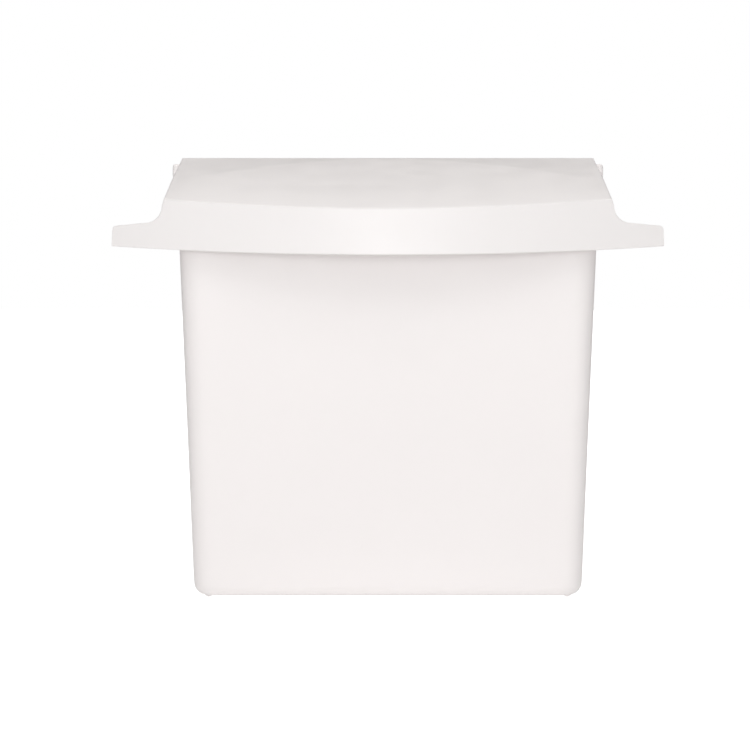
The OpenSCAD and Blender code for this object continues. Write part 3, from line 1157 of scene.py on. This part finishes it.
FLOOR_GLOW = 0.24
# Painted shade: near the bin the floor's camera-seen white is dimmer than it is far away.
FLOOR_SHADED_WHITE_NEAR = 0.6
FLOOR_WHITE_FAR = 1.0
FLOOR_FADE_M = (0.25, 0.9)
WORLD_SIDES = 0.12
WORLD_FRONT = 0.67
WARM = (1.0, 0.96, 0.94)

CAMERA_AT = (0, -1.3008, 0.2109)
CAMERA_DIP = 3.42
CAMERA_LENS = 101.35
CAMERA_SHIFT_X = -0.0172


def camera_white(tree, shader, strength):
    """A white that only the camera sees, and the gate that lets it in over a stage shader."""
    seen = tree.nodes.new("ShaderNodeEmission")
    seen.inputs["Strength"].default_value = strength
    path = tree.nodes.new("ShaderNodeLightPath")
    gate = tree.nodes.new("ShaderNodeMixShader")
    tree.links.new(path.outputs["Is Camera Ray"], gate.inputs[0])
    tree.links.new(shader, gate.inputs[1])
    return seen, gate


def add_floor():
    """A wide pale floor that shows the camera white, with painted shade near the bin: less
    white there, so its contact shadow shows.
    """
    bm = bmesh.new()
    size = 6.0
    corners = [(-size, -size), (size, -size), (size, size), (-size, size)]
    bm.faces.new([bm.verts.new((x, y, 0)) for x, y in corners])
    floor = finished(bm, "floor")
    material = bpy.data.materials.new("floor_white")
    material.use_nodes = True
    tree = material.node_tree
    shader = tree.nodes["Principled BSDF"]
    shader.inputs["Base Color"].default_value = (0.8, 0.8, 0.8, 1)
    shader.inputs["Roughness"].default_value = 1.0
    shader.inputs["Specular IOR Level"].default_value = 0.0
    shader.inputs["Emission Color"].default_value = (1, 1, 1, 1)
    shader.inputs["Emission Strength"].default_value = FLOOR_GLOW
    seen, gate = camera_white(tree, shader.outputs[0], FLOOR_WHITE_FAR)
    coords = tree.nodes.new("ShaderNodeTexCoord")
    away = tree.nodes.new("ShaderNodeVectorMath")
    away.operation = "LENGTH"
    # Painted shade round the bin: the camera's white fades from its near strength to its far
    # strength.
    fade = tree.nodes.new("ShaderNodeMapRange")
    fade.inputs["From Min"].default_value = FLOOR_FADE_M[0]
    fade.inputs["From Max"].default_value = FLOOR_FADE_M[1]
    fade.inputs["To Min"].default_value = FLOOR_SHADED_WHITE_NEAR
    fade.inputs["To Max"].default_value = FLOOR_WHITE_FAR
    tree.links.new(coords.outputs["Object"], away.inputs[0])
    tree.links.new(away.outputs["Value"], fade.inputs["Value"])
    tree.links.new(fade.outputs["Result"], seen.inputs["Strength"])
    both = tree.nodes.new("ShaderNodeAddShader")
    tree.links.new(shader.outputs[0], both.inputs[0])
    tree.links.new(seen.outputs[0], both.inputs[1])
    tree.links.new(both.outputs[0], gate.inputs[2])
    tree.links.new(gate.outputs[0], tree.nodes["Material Output"].inputs["Surface"])
    floor.data.materials.append(material)


def add_softbox(name, place, aim, size, power, color=(1, 1, 1)):
    """A soft rectangular light at place, turned towards aim."""
    data = bpy.data.lights.new(name, "AREA")
    data.shape = "RECTANGLE"
    data.size, data.size_y = size
    data.energy = power
    data.color = color
    light = bpy.data.objects.new(name, data)
    bpy.context.scene.collection.objects.link(light)
    light.location = place
    way = Vector(aim) - Vector(place)
    light.rotation_euler = way.to_track_quat("-Z", "Y").to_euler()


def add_world():
    """Soft surroundings, brightest in front of the bin, that show white behind it."""
    world = bpy.data.worlds.new("studio")
    world.use_nodes = True
    tree = world.node_tree
    around = tree.nodes["Background"]
    coords = tree.nodes.new("ShaderNodeTexCoord")
    ahead = tree.nodes.new("ShaderNodeVectorMath")
    ahead.operation = "DOT_PRODUCT"
    ahead.inputs[1].default_value = (0, -1, 0)
    tone = tree.nodes.new("ShaderNodeMapRange")
    tone.inputs["To Min"].default_value = WORLD_SIDES
    tone.inputs["To Max"].default_value = WORLD_SIDES + WORLD_FRONT
    tree.links.new(coords.outputs["Generated"], ahead.inputs[0])
    tree.links.new(ahead.outputs["Value"], tone.inputs["Value"])
    tree.links.new(tone.outputs["Result"], around.inputs["Color"])
    seen, gate = camera_white(tree, around.outputs[0], 1.0)
    tree.links.new(seen.outputs[0], gate.inputs[2])
    tree.links.new(gate.outputs[0], tree.nodes["World Output"].inputs["Surface"])
    bpy.context.scene.world = world


def add_camera():
    """A long lens at the bin's height, looking slightly down."""
    data = bpy.data.cameras.new("camera")
    data.sensor_width = 36.0
    data.lens = CAMERA_LENS
    data.shift_x = CAMERA_SHIFT_X
    camera = bpy.data.objects.new("camera", data)
    camera.location = CAMERA_AT
    camera.rotation_euler = (math.radians(90 - CAMERA_DIP), 0, 0)
    bpy.context.scene.collection.objects.link(camera)
    bpy.context.scene.camera = camera


add_floor()
add_world()
add_camera()
add_softbox("high_back", (0, 1.0, 1.6), (0, 0, 0.25), (1.5, 0.8), 12.0, WARM)
add_softbox("high_front", (0, -0.8, 1.6), (0, 0, 0.2), (1.0, 1.0), 7.4)
add_softbox("low_front", (0, -2.2, 0.3), (0, 0, 0.1), (0.6, 0.8), 8.4)
add_softbox("low_left", (-0.9, -2.0, 0.35), (0, 0, 0.12), (1.0, 0.7), 1.4)
bpy.context.scene.view_settings.view_transform = "Standard"
